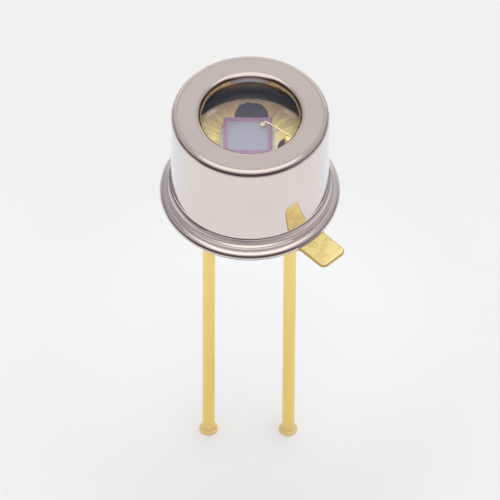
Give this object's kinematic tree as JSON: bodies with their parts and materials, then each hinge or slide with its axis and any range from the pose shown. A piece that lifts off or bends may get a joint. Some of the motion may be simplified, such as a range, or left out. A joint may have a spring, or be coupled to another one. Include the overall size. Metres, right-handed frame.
{
  "type": "photodiode",
  "caption": "Photodiode in a round metal can with a flat glass window, on a gold-plated header with an index tab and long straight leads.",
  "frame": {"origin": "centre of the seating plane, which is the underside of the header's flange, on the can's axis", "axes": "+Z along the optical axis, out of the window; the leads run down -Z and stand in a row along X, the cathode lead at -X; the index tab points about halfway between +X and -Y; -Y is the front"},
  "size_m": [0.0057, 0.0058, 0.0155],
  "materials": {
    "can_nickel": "nickel plate, bright satin",
    "window_glass": "clear, polished",
    "seal_glass": "dark, melted",
    "header_gold": "gold plate, satin",
    "header_glass": "dark, melted",
    "lead_gold": "gold plate, satin",
    "die_attach_silver": "silver-filled adhesive, matte",
    "chip_silicon": "polished silicon under a violet oxide",
    "wire_gold": "bright gold"
  },
  "bodies": {
    "root": {"can": "can_nickel", "window": "window_glass", "window_seal": "seal_glass", "header": "header_gold", "header_glass": "header_glass", "cathode_lead": "lead_gold", "anode_lead": "lead_gold", "die_attach": "die_attach_silver", "photodiode_chip": "chip_silicon", "bond_wire": "wire_gold"}
  },
  "joints": []
}
